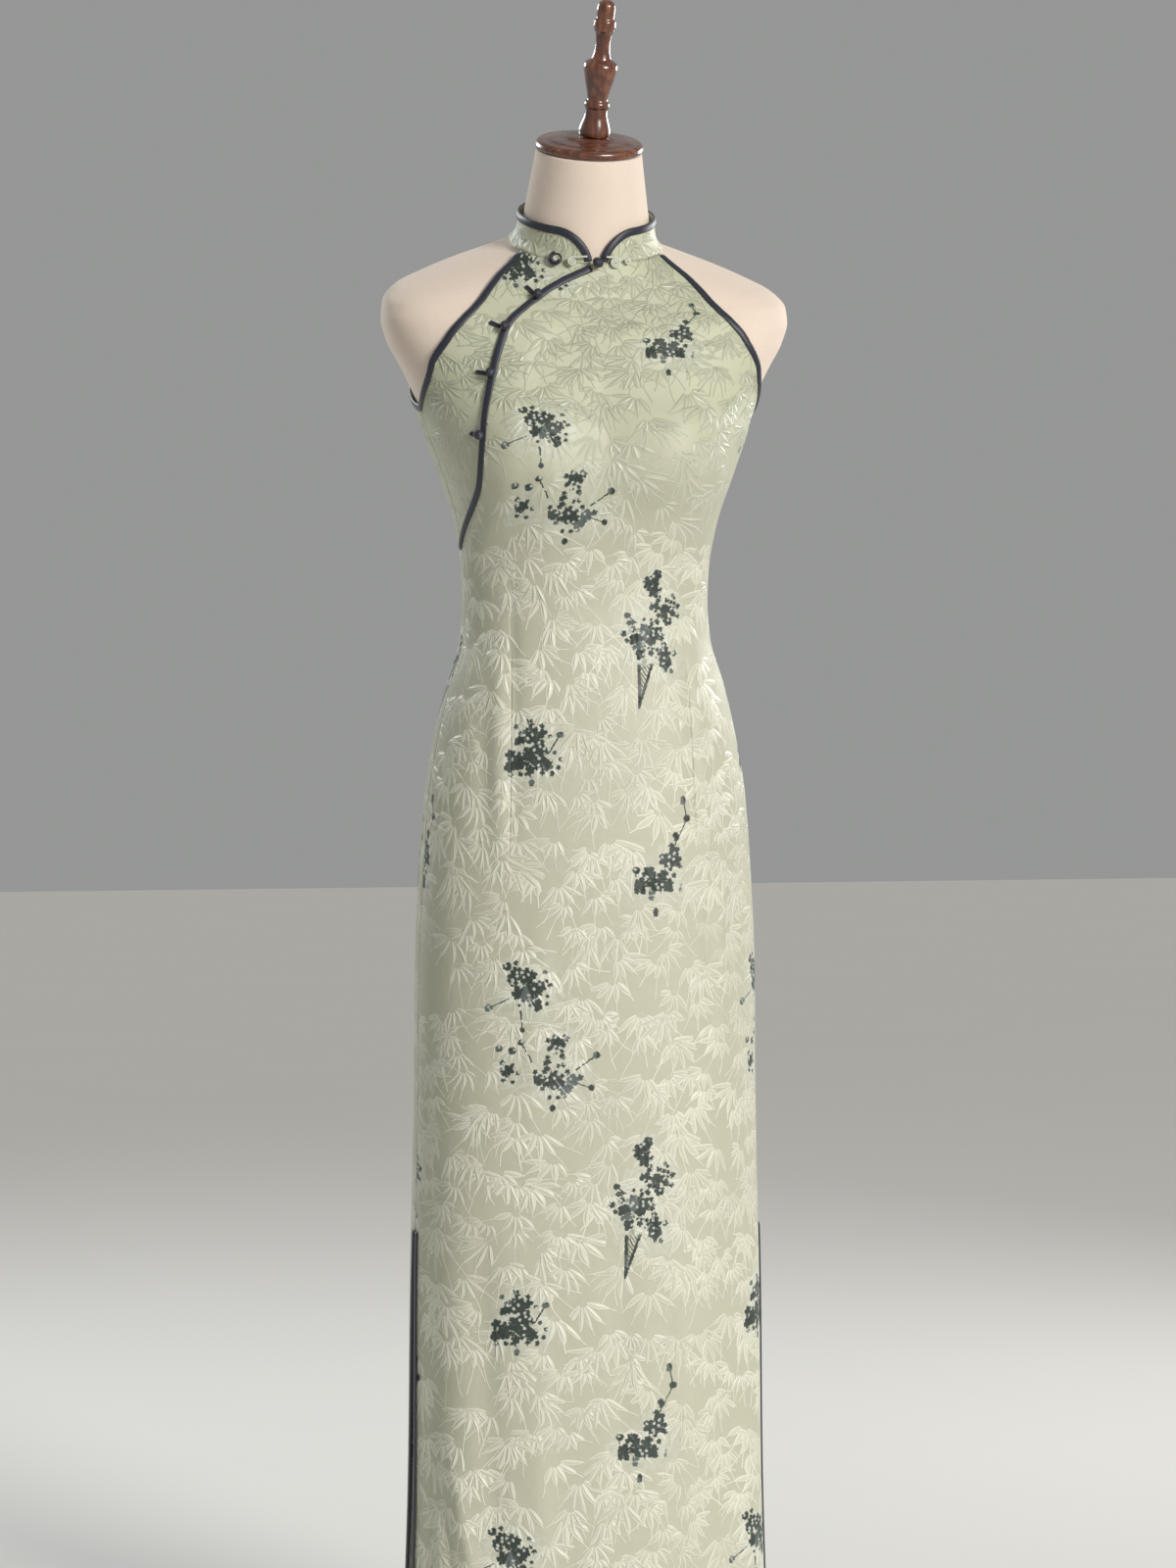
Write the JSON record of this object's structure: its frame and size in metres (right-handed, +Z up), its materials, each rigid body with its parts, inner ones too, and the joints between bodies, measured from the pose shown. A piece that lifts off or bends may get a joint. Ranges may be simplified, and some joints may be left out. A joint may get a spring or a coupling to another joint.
{
  "type": "cheongsam dress on a limbless dress form",
  "caption": "Long sleeveless cheongsam with stand collar, slanting bound closure and ball knots, worn on a limbless dress form with a wooden neck cap, finial, pole and round base.",
  "frame": {"origin": "centre of the stand's base where it meets the floor", "axes": "+Z up, the wearer faces -Y, +X is the wearer's left"},
  "size_m": [0.394, 0.34, 1.6748],
  "materials": {
    "silk": "pale celadon silk with a woven leaf figure and dark ink blossoms",
    "satin": "blue-black satin",
    "cord": "pale silk cord",
    "linen": "plain beige linen drawn smooth over the form",
    "walnut": "dark glossy varnish",
    "steel": "dark satin paint"
  },
  "bodies": {
    "root": {"front": "silk", "under_front": "silk", "back": "silk", "collar": "silk", "collar_binding": "satin", "placket_binding": "satin", "armhole_binding_left": "satin", "armhole_binding_right": "satin", "front_hem_binding": "satin", "back_hem_binding": "satin", "collar_knot": "satin", "collar_coil_dark": "satin", "placket_knot_1": "satin", "placket_knot_2": "satin", "placket_knot_3": "satin", "placket_knot_4": "satin", "placket_leg_1": "satin", "placket_leg_2": "satin", "placket_leg_3": "satin", "placket_leg_4": "satin", "collar_coil_right": "cord", "collar_coil_left": "cord", "collar_coil_tip": "cord", "form_torso": "linen", "neck_cap": "walnut", "neck_finial": "walnut", "stand_pole": "steel", "stand_base": "steel"}
  },
  "joints": []
}
